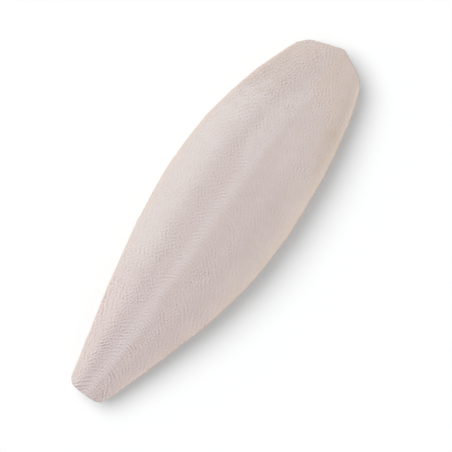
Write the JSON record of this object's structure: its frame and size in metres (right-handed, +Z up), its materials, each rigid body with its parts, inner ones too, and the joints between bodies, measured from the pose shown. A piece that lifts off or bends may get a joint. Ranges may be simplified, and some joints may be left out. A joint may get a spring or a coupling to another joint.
{
  "type": "cuttlebone",
  "caption": "Long oval chalky cuttlebone, trimmed at tail and front, with a ridged domed back and a softer, deeper belly, for cage birds and reptiles to gnaw.",
  "frame": {"origin": "under the middle of the bone's box, at the surface that it lies on", "axes": "+Z up through the hard back, +Y along the length towards the broad front end, +X across to the right"},
  "size_m": [0.0488, 0.15, 0.0153],
  "materials": {
    "chalk": "matte"
  },
  "bodies": {
    "root": {"cuttlebone": "chalk"}
  },
  "joints": []
}
